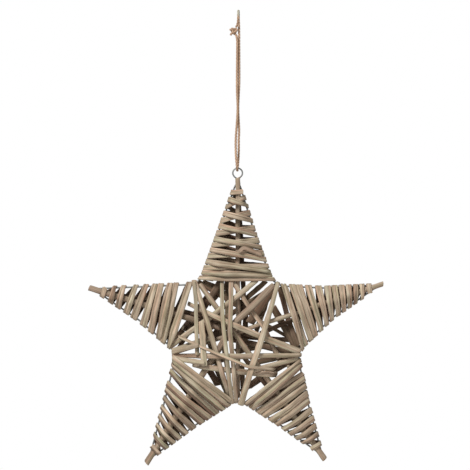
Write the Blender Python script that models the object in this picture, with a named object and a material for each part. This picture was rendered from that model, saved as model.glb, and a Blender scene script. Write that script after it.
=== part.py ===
"""A wicker star that hangs on a loop of jute twine.

A closed wire frame gives the star its outline. Two sticks lie along each arm, one before the frame and
one behind it. Willow withies cross the middle from arm to arm, and one long withy is wound about each
arm. The star stands in the XZ plane and faces -Y. The origin is where the twine rests on its hook.
"""

import math

import bmesh
import bpy
import numpy as np
from mathutils import Vector

MM = 0.001

# The wire frame
WIRE_RADIUS = 1.0 * MM
TIP_REACH = 178 * MM
NOTCH_REACH = 75 * MM
TIP_BEND = 4 * MM
NOTCH_BEND = 10 * MM
NOTCH_CUT = 0.35
STAR_DROP = 386 * MM
STAR_LEFT = 1.4 * MM

# How the hand-bent frame differs from a true star, for each tip and the notch that follows it
# anticlockwise: turn in degrees and share of the reach
BENT_BY_HAND = (
    ((-0.3, 1.02), (0.6, 0.99)),
    ((0.6, 1.00), (-1.0, 1.00)),
    ((1.0, 1.02), (1.3, 1.02)),
    ((-0.9, 0.99), (1.6, 1.00)),
    ((0.9, 1.00), (-1.4, 0.97)),
)

# Half the width of the wire's blunt end at each tip
TIP_HALF_WIDTHS = (3.1 * MM, 2.4 * MM, 2.2 * MM, 2.2 * MM, 2.0 * MM)

# How far the wrapping has bowed each arm's anticlockwise and clockwise wire inwards at its middle
WIRE_BOWS = (
    (0.0 * MM, 1.9 * MM),
    (3.2 * MM, 0.0 * MM),
    (2.0 * MM, 0.4 * MM),
    (1.8 * MM, 1.4 * MM),
    (3.0 * MM, 4.6 * MM),
)
TOP, LEFT, LOWER_LEFT, LOWER_RIGHT, RIGHT = range(5)
ANTICLOCKWISE, CLOCKWISE = 0, -1
ARM_NAMES = ("top", "left", "lower_left", "lower_right", "right")

# The willow sticks. Each arm's front stick has a radius at its tip and at its inner end
FRONT_STICK_RADII = (
    (2.7 * MM, 2.5 * MM),
    (3.3 * MM, 3.3 * MM),
    (3.4 * MM, 3.8 * MM),
    (3.2 * MM, 2.9 * MM),
    (2.8 * MM, 2.2 * MM),
)
BACK_STICK_RADIUS = 2.6 * MM
STICK_PAST_TIP = 7 * MM
STICK_PAST_TOP_TIP = 5.5 * MM
LEFT_STICK_FROM_MIDDLE = 22 * MM
LOWER_LEFT_STICK_BEND = (-43 * MM, 0.01)
BACK_STICK_SKEW = 9 * MM
BACK_STICK_FROM_MIDDLE = 26 * MM

# The withies are wider than they are thick, and crushed thinner where they turn round the wire
REST_GAP = 0.4 * MM
FLATNESS = 0.52
CRUSH = 0.45
CRUSHED_LENGTH = 9 * MM
TURN_ROOM = 0.84
NOTCH_TURN_WIDTH = 2.2 * MM
WINDING_TIP_WIDTH = 2.8 * MM
TAIL_LENGTH = 14 * MM

# Hanging eye of wire
EYE_WIRE_RADIUS = 0.9 * MM
EYE_RADIUS = 6.0 * MM
EYE_ABOVE_TIP = 11.4 * MM
EYE_LEG_LENGTH = 12 * MM

# Jute twine and its knot
TWINE_RADIUS = 1.5 * MM
TWINE_STEP = 30 * MM
KNOT_RADIUS = 4.2 * MM
KNOT_PLACE = Vector((-4.7, 0.0, -22.4)) * MM
KNOT_END_RADIUS = 1.3 * MM
KNOT_END_LENGTH = 5.6 * MM
KNOT_END_TILTS = (-65, -115)

# Roundness of the tubes: 1 gives six sides and 2 gives eight
STICK_ROUNDNESS = 1
WIRE_ROUNDNESS = 1
TWINE_ROUNDNESS = 1
WITHY_SIDES = 6
SHARP_ANGLE = math.radians(65)
MOST_MITRE = math.cos(math.radians(35))

# Steps along a rod at which its rest is worked out, and how far the merging of bends may lift it
SAMPLE_STEP = 1.5 * MM
BOUND_WIDTH = 17 * MM
MERGE_RISE = 1.2 * MM
WINDING_MERGE_RISE = 3.0 * MM


def clear_scene():
    for thing in list(bpy.data.objects):
        bpy.data.objects.remove(thing, do_unlink=True)


def make_collection(name):
    collection = bpy.data.collections.new(name)
    bpy.context.scene.collection.children.link(collection)
    return collection


def make_material(name, colour, roughness, metallic=0.0):
    material = bpy.data.materials.new(name)
    material.use_nodes = True
    shader = material.node_tree.nodes["Principled BSDF"]
    shader.inputs["Base Color"].default_value = (*colour, 1.0)
    shader.inputs["Roughness"].default_value = roughness
    shader.inputs["Metallic"].default_value = metallic
    return material


# The plan of the star: places are (x, z) from its centre


def unit(way):
    return way / np.linalg.norm(way)


def polar(reach, degrees):
    angle = math.radians(degrees)
    return np.array([reach * math.cos(angle), reach * math.sin(angle)])


def tip(arm):
    turn, share = BENT_BY_HAND[arm % 5][0]
    return polar(TIP_REACH * share, 90 + 72 * arm + turn)


def notch(index):
    turn, share = BENT_BY_HAND[index % 5][1]
    return polar(NOTCH_REACH * share, 126 + 72 * index + turn)


def base_middle(arm):
    return (notch(arm) + notch(arm - 1)) / 2


def axis(arm):
    return unit(tip(arm) - base_middle(arm))


def tip_corner(arm, side):
    """Where one of an arm's two wires bends to the blunt tip."""
    sideways = np.array([-axis(arm)[1], axis(arm)[0]]) * (1 if side == ANTICLOCKWISE else -1)
    return tip(arm) - axis(arm) * TIP_BEND + sideways * TIP_HALF_WIDTHS[arm % 5]


def wire_corners(arm, side):
    """The notch, the middle and the tip's corner between which one of an arm's two wires runs."""
    start, end = notch(arm + side), tip_corner(arm, side)
    way = unit(end - start)
    inward = np.array([way[1], -way[0]]) * (1 if side == ANTICLOCKWISE else -1)
    return start, (start + end) / 2 + inward * WIRE_BOWS[arm % 5][side], end


def bend_corners(index):
    """The three corners of the wire's bend at a notch, clockwise one first."""
    corner = notch(index)
    back = unit(wire_corners(index, ANTICLOCKWISE)[1] - corner)
    ahead = unit(wire_corners(index + 1, CLOCKWISE)[1] - corner)
    return [corner + place * NOTCH_BEND for place in (back, (back + ahead) * NOTCH_CUT, ahead)]


def on_bend(index, offset):
    """The place at an offset anticlockwise from the middle of a notch's bend, and the wire's way there."""
    first, middle, last = bend_corners(index)
    way = unit(last - middle) if offset > 0 else unit(middle - first)
    return middle + way * offset, way


def wire_length(arm, side):
    return np.linalg.norm(tip_corner(arm, side) - notch(arm + side))


def on_wire(arm, side, share):
    """A place on one of an arm's wires, from its notch (0) to the tip's corner (1), and its way there."""
    start, middle, end = wire_corners(arm, side)
    bend_share = NOTCH_BEND / wire_length(arm, side)
    if share > 0.5:
        return middle + (end - middle) * (2 * share - 1), unit(end - middle)
    if share > bend_share:
        return start + (middle - start) * 2 * share, unit(middle - start)
    _, middle, end = bend_corners(arm + side)[:: 1 if side == CLOCKWISE else -1]
    return middle + (end - middle) * share / bend_share, unit(end - middle)


def in_arm(arm, depth, across):
    """The place at a depth past an arm's base, and across it from -1 to 1, 1 being anticlockwise."""
    half_base = (notch(arm) - notch(arm - 1)) / 2
    return base_middle(arm) + axis(arm) * depth + half_base * across


# Rods that lie over one another. A face is 1 before the frame and -1 behind it, and a height is
# measured outwards from the frame's plane. A bend is (x, z, height, half width, half thickness).

FRONT, BACK = 1, -1
laid = {FRONT: [], BACK: []}


def lay_straight(face, start, end, height, radius):
    laid[face].append((*start, height, radius, radius, *end, height, radius, radius))


def needed_heights(face, places, wide, thick, slopes):
    """The least height of a rod's middle at each place, to clear all that lies on the face already."""
    rods = np.array(laid[face])
    start, end = rods[:, 0:2], rods[:, 5:7]
    along = end - start
    length_squared = np.maximum((along**2).sum(1), 1e-12)
    offset = places[:, None, :] - start[None]
    share = np.clip((offset * along).sum(2) / length_squared, 0, 1)
    apart = np.linalg.norm(offset - share[..., None] * along, axis=2)
    middle, rod_wide, rod_thick = (rods[:, k] + share * (rods[:, k + 5] - rods[:, k]) for k in (2, 3, 4))
    reach = wide[:, None] + rod_wide + REST_GAP
    lift = thick[:, None] + rod_thick + REST_GAP
    rod_slopes = np.minimum((rods[:, 7] - rods[:, 2]) ** 2 / length_squared, 1)
    lift *= np.sqrt(1 + slopes[:, None] ** 2 + rod_slopes)
    over = middle + lift * np.sqrt(np.maximum(1 - (apart / reach) ** 2, 0))
    return np.maximum(thick + REST_GAP / 2, np.where(apart < reach, over, 0.0).max(1))


def upper_hull(places):
    hull = []
    for x, y in places:
        while len(hull) > 1:
            (ax, ay), (bx, by) = hull[-2], hull[-1]
            if (bx - ax) * (y - ay) < (by - ay) * (x - ax):
                break
            hull.pop()
        hull.append((x, y))
    return hull


def merged_bend(before, first, second, after):
    """Where two bends become one, as the stretches either side meet, and how far that lifts the rod."""
    rise_in = (first[1] - before[1]) / (first[0] - before[0])
    rise_out = (after[1] - second[1]) / (after[0] - second[0])
    x = (second[1] - first[1] + rise_in * first[0] - rise_out * second[0]) / (rise_in - rise_out)
    y = first[1] + rise_in * (x - first[0])
    between = (second[1] - first[1]) * (x - first[0]) / (second[0] - first[0])
    return (x, y), y - first[1] - between


def taut(distances, heights, merge_rise):
    """The bends of a rod drawn taut over the heights, with close bends made one."""
    hull = upper_hull(zip(distances, heights))
    while len(hull) > 3:
        merges = [(*merged_bend(*hull[k - 1 : k + 3]), k) for k in range(1, len(hull) - 2)]
        bend, rise, k = min(merges, key=lambda merge: merge[1])
        if rise > merge_rise:
            break
        hull[k : k + 2] = [bend]
    return np.array(hull)


def lay_rod(face, corners, widths, flatness=1.0, drawn_in=(None, None), merge_rise=MERGE_RISE):
    """Lays a rod along plan corners over one face, and gives its bends with their signed height.

    The widths are halves, at its two ends. An end that is drawn in to a half width goes on round the
    wire, and is crushed there.
    """
    corners = np.array(corners)
    lengths = np.linalg.norm(np.diff(corners, axis=0), axis=1)
    along = np.concatenate([[0], np.cumsum(lengths)])
    length = along[-1]
    distances = np.linspace(0, length, max(8, int(length / SAMPLE_STEP)))

    def section(where):
        crushed_length = min(CRUSHED_LENGTH, length / 2)
        near = [0, crushed_length, length - crushed_length, length]
        wide = np.interp(near, [0, length], widths)
        thick = wide * flatness
        for end in (0, -1):
            if drawn_in[end]:
                wide[end] = drawn_in[end]
                thick[end] *= CRUSH
        return np.interp(where, near, wide), np.interp(where, near, thick)

    places = np.stack([np.interp(distances, along, corners[:, k]) for k in (0, 1)], axis=1)
    wide, thick = section(distances)
    slopes = np.zeros(len(distances))
    for _ in range(2):
        heights = needed_heights(face, places, wide, thick, slopes)
        for end in (0, -1):
            if drawn_in[end]:
                heights[end] = max(heights[end], wire_hold(thick[end]))
        if all(drawn_in) and length < BOUND_WIDTH:
            heights[:] = heights.max()
        hull = taut(distances, heights, merge_rise)
        steps = np.abs(np.diff(np.interp(distances, hull[:, 0], hull[:, 1])) / np.diff(distances))
        slopes = np.maximum([*steps, 0], [0, *steps])
    stops = np.union1d(hull[:, 0], along)
    columns = [np.interp(stops, along, corners[:, k]) for k in (0, 1)]
    bends = np.stack([*columns, np.interp(stops, hull[:, 0], hull[:, 1]), *section(stops)], axis=1)
    laid[face].extend((*a, *b) for a, b in zip(bends[:-1], bends[1:]))
    bends[:, 2] *= face
    return bends


# A withy goes round a wire in three bends of 60 degrees, whose sides touch the circle that it follows
TURN_EDGE = math.tan(math.radians(30))
TURN_CROWN = 1 / math.cos(math.radians(30))


def wire_hold(thick):
    """The height of a rod's middle where it rests on the frame's wire."""
    return WIRE_RADIUS + thick + REST_GAP


def slant(way, wire):
    """How much further a withy goes to clear a wire that it doesn't cross squarely."""
    return 1 / max(0.6, abs(way[0] * wire[1] - way[1] * wire[0]))


def slanting_room(before, place, after, wire):
    """The half width at which a withy's sides just don't fold where it goes slantwise round a wire."""
    lean = max(abs(unit(place - before) @ wire), abs(unit(after - place) @ wire), 0.1)
    return 2 * TURN_EDGE * (WIRE_RADIUS + REST_GAP) / lean


def lay_turn(*bends):
    for face in (FRONT, BACK):
        signed = [(x, z, height * face, wide, thick) for x, z, height, wide, thick in bends]
        laid[face].extend((*a, *b) for a, b in zip(signed[:-1], signed[1:]))


def weave(stops, widths, face, merge_rise=MERGE_RISE, room=math.inf):
    """A withy that runs from stop to stop, over one face and then the other.

    A stop is (place, None) for a free end or a bend in the plan, or (place, way of the wire) where the
    withy goes round the wire to the other face, drawn in to the room that it has there. Gives pairs of
    a bend and, at a turn, the wire's way.
    """
    places = [np.array(place) for place, _ in stops]
    wide = np.interp(np.linspace(0, 1, len(stops)), [0, 1], widths)
    held = np.minimum(wide, room)
    turns = [k for k, (_, wire) in enumerate(stops) if wire is not None]
    for k in turns:
        if 0 < k < len(stops) - 1:
            held[k] = min(held[k], slanting_room(*places[k - 1 : k + 2], stops[k][1]))
    bounds = sorted({0, *turns, len(stops) - 1})
    route, before = [], None
    for a, b in zip(bounds[:-1], bounds[1:]):
        corners = list(places[a : b + 1])
        drawn_in = [held[stop] if stop in turns else None for stop in (a, b)]
        outwards = (unit(corners[0] - corners[1]), unit(corners[-1] - corners[-2]))
        for end, stop in enumerate((a, b)):
            if drawn_in[end]:
                hold = wire_hold(wide[stop] * FLATNESS * CRUSH)
                edge = TURN_EDGE * hold * slant(outwards[end], stops[stop][1])
                corners[-end] = corners[-end] + outwards[end] * edge
        bends = lay_rod(face, corners, (wide[a], wide[b]), FLATNESS, drawn_in, merge_rise)
        if route:
            crushed = wide[a] * FLATNESS * CRUSH
            outward = unit(before + outwards[0])
            crown = places[a] + outward * TURN_CROWN * wire_hold(crushed) * slant(outward, stops[a][1])
            crown = np.array([*crown, 0.0, held[a], crushed])
            lay_turn(route[-1][0], crown, bends[0])
            route.append((crown, stops[a][1]))
        route.extend((bend, None) for bend in bends)
        before = outwards[1]
        face = -face
    return route


# Objects


def world(place, height=0.0):
    return Vector((place[0] - STAR_LEFT, -height, place[1] - STAR_DROP))


def tube(name, points, radii, material, roundness, closed=False):
    curve = bpy.data.curves.new(name, "CURVE")
    curve.dimensions = "3D"
    curve.bevel_depth = max(radii)
    curve.bevel_resolution = roundness
    curve.use_fill_caps = not closed
    spline = curve.splines.new("POLY")
    spline.points.add(len(points) - 1)
    for place, point, radius in zip(spline.points, points, radii):
        place.co = (*point, 1.0)
        place.radius = radius / curve.bevel_depth
    spline.use_cyclic_u = closed
    spline.use_smooth = True
    curve.materials.append(material)
    made = bpy.data.objects.new(name, curve)
    star.objects.link(made)
    return made


def loft(name, rings, material):
    """A closed solid through rings of places, with flat ends."""
    form = bmesh.new()
    loops = [[form.verts.new(place) for place in ring] for ring in rings]
    for near, far in zip(loops[:-1], loops[1:]):
        for k in range(len(near)):
            form.faces.new((near[k - 1], near[k], far[k], far[k - 1]))
    form.faces.new(loops[0])
    form.faces.new(loops[-1])
    bmesh.ops.recalc_face_normals(form, faces=form.faces)
    mesh = bpy.data.meshes.new(name)
    form.to_mesh(mesh)
    form.free()
    mesh.materials.append(material)
    mesh.shade_smooth()
    mesh.set_sharp_from_angle(angle=SHARP_ANGLE)
    made = bpy.data.objects.new(name, mesh)
    star.objects.link(made)


def stick(name, bends):
    points = [world(bend[:2], bend[2]) for bend in bends]
    tube(name, points, [bend[3] for bend in bends], willow, STICK_ROUNDNESS)


def plan_normal(way):
    return Vector((way.z, 0, -way.x)).normalized()


def withy(name, route):
    """A flattened rod through a route's bends. Its wide way lies in the star's plane."""
    points = [world(bend[:2], bend[2]) for bend, _ in route]
    ways = [(b - a).normalized() for a, b in zip(points[:-1], points[1:])]
    ways = [ways[0], *ways, ways[-1]]
    rings, across = [], plan_normal(ways[0])
    for point, (bend, held), before, after in zip(points, route, ways[:-1], ways[1:]):
        if held is None:
            sides = [plan_normal(before), plan_normal(after)]
        else:
            sides = [Vector((held[0], 0, held[1]))]
        across = sum((side if side.dot(across) > 0 else -side for side in sides), Vector()).normalized()
        along = (before + after).normalized()
        up = along.cross(across).normalized()
        mitre = 1 / max(along.dot(after), MOST_MITRE)
        ring = []
        for k in range(WITHY_SIDES):
            angle = 2 * math.pi * k / WITHY_SIDES
            ring.append(point + across * bend[3] * math.cos(angle) + up * bend[4] * mitre * math.sin(angle))
        rings.append(ring)
    loft(name, rings, willow)


def make_frame():
    """The closed wire. Each of its ten corners is bent in three points."""
    places = []
    for arm in range(5):
        middles, corners = zip(*(wire_corners(arm, side)[1:] for side in (CLOCKWISE, ANTICLOCKWISE)))
        places += [middles[0], corners[0], tip(arm), corners[1], middles[1], *bend_corners(arm)]
    points = [world(place) for place in places]
    tube("wire_frame", points, [WIRE_RADIUS] * len(points), wire, WIRE_ROUNDNESS, closed=True)
    for face in (FRONT, BACK):
        for start, end in zip(places, places[1:] + places[:1]):
            lay_straight(face, start, end, 0.0, WIRE_RADIUS)


def stick_start(arm):
    return tip(arm) + axis(arm) * (STICK_PAST_TOP_TIP if arm == TOP else STICK_PAST_TIP)


def front_stick_route(arm):
    """A front stick reaches to the notch across the star.

    The left arm's ends before the middle, and the lower left arm's is bent at the middle.
    """
    start, far = stick_start(arm), notch(arm + 2)
    run = start - far
    if arm == LEFT:
        return [start, start - run * (start @ axis(arm) - LEFT_STICK_FROM_MIDDLE) / (run @ axis(arm))]
    bend = [in_arm(TOP, *LOWER_LEFT_STICK_BEND)] if arm == LOWER_LEFT else []
    return [start, *bend, far]


def make_front_stick(arm):
    bends = lay_rod(FRONT, front_stick_route(arm), FRONT_STICK_RADII[arm])
    stick(f"{ARM_NAMES[arm]}_arm_front_stick", bends)


def make_back_stick(arm):
    sideways = np.array([-axis(arm)[1], axis(arm)[0]])
    end = axis(arm) * BACK_STICK_FROM_MIDDLE - sideways * BACK_STICK_SKEW
    radii = (BACK_STICK_RADIUS, BACK_STICK_RADIUS)
    stick(f"{ARM_NAMES[arm]}_arm_back_stick", lay_rod(BACK, [stick_start(arm), end], radii))


# The withies across the middle, in the order in which they were laid: name, half widths at the two ends,
# the face that each starts on and its stops. A stop is (arm, depth past the arm's base, share across it),
# or (notch, offset along its bend, "turn") where the withy goes round the wire; lengths in millimetres.
# The first one lies under two of the front sticks.
WITHY_UNDER_STICKS = (
    "slanting_withy_right", (2.4, 2.8), FRONT, (TOP, 12, 0.23), (TOP, -26, -0.34), (RIGHT, -28, 0.0),
    (LOWER_RIGHT, -7, 0.49),
)
MIDDLE_WITHIES = (
    ("slanting_withy_upper", (3.2, 2.8), FRONT, (LEFT, 10, 0.9), (LEFT, -25, -0.22), (TOP, 7, -0.55)),
    ("short_withy_left", (3.2, 3.8), FRONT, (LEFT, 6, 1.01), (LEFT, -34, 0.32)),
    ("cut_end_withy", (2.4, 4.0), FRONT, (LEFT, 6, -0.39), (RIGHT, -30, -0.35), (RIGHT, 3, -1.04)),
    ("level_withy_low", (3.0, 3.4), FRONT, (LOWER_LEFT, 0, -0.46), (LOWER_RIGHT, -14, -0.31),
     (LOWER_RIGHT, 6, 0.2)),
    ("slanting_withy_low", (2.9, 2.8), FRONT, (LOWER_RIGHT, 7, 0.92), (LOWER_RIGHT, -19, -0.4)),
    ("leaning_withy_left", (2.8, 2.8), FRONT, (LEFT, 8, -1.05), (LEFT, -23, -0.08), (LOWER_LEFT, -31, -0.22),
     (LOWER_LEFT, 7, 0.85)),
    ("upright_withy_right", (2.6, 2.5), FRONT, (TOP, 11, 0.15), (TOP, -54, 0.17),
     (LOWER_LEFT, -2.4, "turn"), (TOP, -18, -0.1)),
    ("level_withy_middle", (3.5, 3.2), BACK, (TOP, 9, 0.38), (LEFT, 2.4, "turn"), (LOWER_RIGHT, -3, "turn"),
     (LEFT, 3, 0.3)),
    ("upright_withy_outer", (3.5, 3.5), FRONT, (LEFT, -16, -0.04), (LOWER_LEFT, -8, -0.22)),
    ("upright_withy_thin", (2.1, 2.3), FRONT, (LEFT, 8, -1.02), (LEFT, -3, -0.47), (LOWER_LEFT, -13, -0.53)),
    ("upright_withy_left", (2.2, 2.8), FRONT, (TOP, 10, 0.4), (TOP, -38, 0.38), (LOWER_LEFT, -39, -0.01),
     (LOWER_LEFT, -7.6, "turn"), (TOP, -30, 0.5)),
    ("leaning_withy_right", (2.8, 3.6), BACK, (LEFT, -24, 0.24), (RIGHT, -2.3, "turn"), (RIGHT, -31, -0.18),
     (LOWER_RIGHT, -21, -0.2), (LOWER_RIGHT, 8, -1.05)),
    ("thin_withy_on_top", (1.6, 1.8), FRONT, (LEFT, 4, 0.56), (LOWER_LEFT, -36, 0.49),
     (LOWER_RIGHT, -23, -0.29), (LOWER_RIGHT, 0, 0.26)),
    ("short_withy_at_left_notch", (2.6, 2.8), FRONT, (LEFT, 5, 1.02), (LEFT, -21, 0.60)),
    ("level_withy_short", (3.0, 2.6), FRONT, (LOWER_LEFT, 8, -1.01), (LOWER_LEFT, -11, -0.27)),
    ("reddish_withy", (3.0, 2.8), FRONT, (LOWER_LEFT, 7, -0.97), (LOWER_LEFT, 8, 0.88)),
    ("cut_end_withy_lower_right", (2.5, 2.5), FRONT, (LOWER_RIGHT, 25, 0.81), (LOWER_RIGHT, 17, -0.46)),
    ("back_withy_wide", (4.4, 4.4), BACK, (RIGHT, -4, 0.90), (RIGHT, -42, 0.22)),
    ("back_withy_beside_arm", (2.6, 2.6), BACK, (RIGHT, 6, 0.9), (RIGHT, 3, -0.01), (RIGHT, 4, -0.86)),
    ("back_withy_across", (3.4, 3.4), BACK, (LEFT, -18, -0.04), (RIGHT, -32, -0.32)),
    ("back_withy_left", (2.6, 2.6), BACK, (LEFT, -8, -0.25), (LOWER_LEFT, 7, 0.82)),
    ("back_withy_right", (2.8, 2.8), BACK, (LOWER_RIGHT, -3, -0.86), (RIGHT, 4, -0.93)),
    ("back_withy_down", (2.6, 2.6), BACK, (LEFT, 4, -1.05), (RIGHT, -27, 0.18)),
    ("back_withy_short", (3.4, 3.6), BACK, (RIGHT, -9, 0.43), (RIGHT, -7, 0.07), (RIGHT, 2, -0.93)),
    ("back_withy_level", (2.4, 2.4), BACK, (LEFT, -34, 0.16), (RIGHT, -48, -0.19), (RIGHT, -1, -0.66)),
    ("back_withy_upright", (2.6, 2.6), BACK, (TOP, 9, 0.27), (LEFT, -46, -0.22)),
    ("back_withy_crossing", (2.3, 2.3), BACK, (LEFT, -18, -0.52), (TOP, 6, 0.16)),
    ("back_withy_at_corner", (2.1, 2.1), BACK, (TOP, 3, 0.92), (TOP, -3, 0.58), (TOP, -22, 0.02)),
    ("back_withy_leaning", (2.8, 2.8), BACK, (LEFT, -13, -0.71), (LEFT, 7, 0.72)),
    ("back_withy_thin", (1.7, 1.7), BACK, (RIGHT, -28, 0.13), (RIGHT, -2, -0.59)),
    ("back_withy_below_centre", (3.0, 3.0), BACK, (LOWER_LEFT, -42, 0.26), (RIGHT, -26, -0.55)),
    ("back_withy_dark", (2.6, 2.6), BACK, (LOWER_LEFT, -14, 0.01), (LOWER_LEFT, 8, 0.86)),
    ("back_withy_olive", (3.2, 3.2), BACK, (LOWER_LEFT, -8, -0.17), (LOWER_LEFT, 3, 0.39)),
    ("back_withy_arched", (2.8, 2.8), BACK, (LOWER_LEFT, -7, -0.23), (LOWER_LEFT, -29, 0.18)),
    ("back_withy_lower_right", (3.0, 3.0), BACK, (LOWER_RIGHT, -2, -0.59), (LOWER_RIGHT, 5, 0.84)),
    ("back_withy_right_of_centre", (2.8, 2.4), BACK, (RIGHT, -51, -0.01), (TOP, -16, -0.27), (TOP, 5, -0.78)),
    ("back_withy_below_stick", (2.4, 2.4), BACK, (RIGHT, -38, -0.08), (RIGHT, -10, 0.77)),
    ("back_withy_slanting", (2.8, 2.8), BACK, (LOWER_RIGHT, -23, -0.23), (LOWER_RIGHT, -3, 0.71)),
    ("back_withy_to_lower_notch", (2.4, 2.4), BACK, (LOWER_RIGHT, -27, -0.44), (LOWER_RIGHT, 4, -0.9)),
)


# This one lies over the top arm's winding, where its cut end hooks down
WITHY_OVER_WINDING = (
    "hooked_withy_end", (2.4, 2.8), FRONT, (TOP, 40, -0.06), (TOP, 45, -0.17), (TOP, 37, -0.66),
)


def stop_of(stop):
    if stop[-1] == "turn":
        index, offset, _ = stop
        return on_bend(index, offset * MM)
    arm, depth, across = stop
    return in_arm(arm, depth * MM, across), None


def make_middle_withy(name, widths, face, *stops):
    widths = [wide * MM for wide in widths]
    withy(name, weave([stop_of(stop) for stop in stops], widths, face, room=NOTCH_TURN_WIDTH))


# The windings: an arm, its withy's half width at the base, and its passes over the front from the base to
# the tip. A pass is its places on the anticlockwise and the clockwise wire, in hundredths of the way from
# the notch to the tip.
WINDINGS = (
    (TOP, 3.6, ((6, 6), (12, 11), (17, 20), (23, 15), (29, 33), (35, 27), (40, 46), (46, 39), (52, 58),
                (59, 52), (65, 73), (72, 66), (79, 88), (86, 81), (93, 94))),
    (LEFT, 4.8, ((10, 11), (18, 24), (24, 30), (34, 39), (44, 45), (56, 54), (65, 64), (75, 76), (84, 85),
                 (94, 94))),
    (LOWER_LEFT, 4.2, ((13, 10), (19, 13), (27, 20), (35, 32), (43, 38), (53, 46), (62, 55), (70, 64),
                       (77, 73), (85, 82), (94, 92))),
    (LOWER_RIGHT, 4.0, ((10, 11), (15, 18), (28, 26), (35, 33), (43, 42), (50, 49), (60, 58), (68, 66),
                        (76, 74), (84, 82), (93, 92))),
    (RIGHT, 3.8, ((9, 12), (12, 7), (19, 19), (26, 25), (35, 33), (45, 41), (54, 48), (61, 56), (68, 63),
                  (75, 70), (82, 77), (88, 85), (95, 94))),
)


def room_for_turns(shares, length):
    """The half width that each turn about a wire may have, beside its neighbours and the notch's bend."""
    places = np.array(shares) * length
    apart = np.abs(places[:, None] - places)
    np.fill_diagonal(apart, math.inf)
    past_bend = np.maximum(places - NOTCH_BEND, NOTCH_TURN_WIDTH)
    return np.minimum((apart.min(1) - REST_GAP) / 2 * TURN_ROOM, past_bend)


def make_winding(arm, wide, passes):
    stops, room = [], np.empty(2 * len(passes))
    for side, hundredths in zip((ANTICLOCKWISE, CLOCKWISE), zip(*passes)):
        shares = [value / 100 for value in hundredths]
        room[-side::2] = room_for_turns(shares, wire_length(arm, side))
        stops.append([on_wire(arm, side, share) for share in shares])
    stops = [stop for pair in zip(*stops) for stop in pair]
    inward = unit(stops[1][0] - stops[0][0])
    stops.insert(0, (stops[0][0] + inward * TAIL_LENGTH, None))
    widths = (wide * MM, WINDING_TIP_WIDTH)
    withy(f"{ARM_NAMES[arm]}_arm_winding", weave(stops, widths, BACK, WINDING_MERGE_RISE, [math.inf, *room]))


def make_eye():
    """A ring that stands on the top arm's tip, with one leg bound before the frame and one behind it."""
    peak, foot = tip(TOP), tip(TOP) - np.array([0, EYE_LEG_LENGTH])
    centre = world(peak) + Vector((0, 0, EYE_ABOVE_TIP))
    waist = centre - Vector((0, 0, EYE_RADIUS + EYE_WIRE_RADIUS))
    half_waist = Vector((EYE_WIRE_RADIUS + REST_GAP, 0, 0))
    depth = wire_hold(EYE_WIRE_RADIUS)
    route = [world(foot, -depth), world(peak, -depth), waist + half_waist]
    for degrees in range(-60, 241, 30):
        angle = math.radians(degrees)
        route.append(centre + EYE_RADIUS * Vector((math.cos(angle), 0, math.sin(angle))))
    route += [waist - half_waist, world(peak, depth), world(foot, depth)]
    tube("wire_eye", route, [EYE_WIRE_RADIUS] * len(route), wire, WIRE_ROUNDNESS)
    for face in (FRONT, BACK):
        lay_straight(face, foot, peak + np.array([0, EYE_ABOVE_TIP - EYE_RADIUS]), depth, EYE_WIRE_RADIUS)


# The twine's route in millimetres: from the knot down to the eye, through it, up over the hook and
# down to the knot again
TWINE_ROUTE = (
    (-2.7, 0.0, -26.7), (-1.3, -0.9, -31), (-0.9, -1.25, -40), (-1.25, -0.95, -81), (-1.05, -1.4, -98),
    (-0.4, -1.7, -113), (-0.9, -1.6, -127), (-1.95, -0.8, -141), (-2.7, -0.3, -153), (-2.7, -1.3, -165),
    (-2.4, -3.9, -173.5), (-1.8, -6.1, -179.6), (-1.5, -6.5, -183.4), (-1.2, -5.63, -186.65),
    (-1.0, -3.25, -189.03), (-0.8, 0.0, -189.9), (-0.6, 3.25, -189.03), (-0.3, 5.63, -186.65),
    (-0.1, 6.5, -183.4), (0.2, 6.1, -179.6), (0.6, 3.9, -173.5), (0.9, 1.3, -165), (0.9, 0.3, -153),
    (1.35, 0.8, -141), (0.6, 1.6, -127), (0.2, 1.7, -113), (0.85, 1.4, -98), (1.55, 0.95, -81),
    (1.4, 1.25, -40), (1.35, 1.5, -27), (1.2, 4.2, -14.5), (0.9, 6.1, -8.8), (0.8, 6.5, -5.0),
    (0.75, 5.63, -1.75), (0.65, 3.25, 0.63), (0.5, 0.0, 1.5), (0.4, -3.25, 0.63), (0.3, -5.63, -1.75),
    (0.25, -6.5, -5.0), (0.2, -6.0, -8.8), (-0.4, -3.4, -13.8), (-1.4, -1.4, -16.5), (-2.2, -0.2, -17.7),
)


def smooth_curve(route, step):
    """A smooth curve through the route's places, with points about a step apart."""
    places = [2 * route[0] - route[1], *route, 2 * route[-1] - route[-2]]
    points = [route[0]]
    for a, b, c, d in zip(places, places[1:], places[2:], places[3:]):
        count = max(1, round((c - b).length / step))
        for k in range(1, count + 1):
            t = k / count
            bend = (2 * a - 5 * b + 4 * c - d) * t**2 + (3 * b - a - 3 * c + d) * t**3
            points.append((2 * b + (c - a) * t + bend) / 2)
    return points


def make_twine():
    points = smooth_curve([Vector(place) * MM for place in TWINE_ROUTE], TWINE_STEP)
    tube("jute_hanging_twine", points, [TWINE_RADIUS] * len(points), jute, TWINE_ROUNDNESS)


def move_to(collection, thing):
    for old in list(thing.users_collection):
        old.objects.unlink(thing)
    collection.objects.link(thing)


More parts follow.
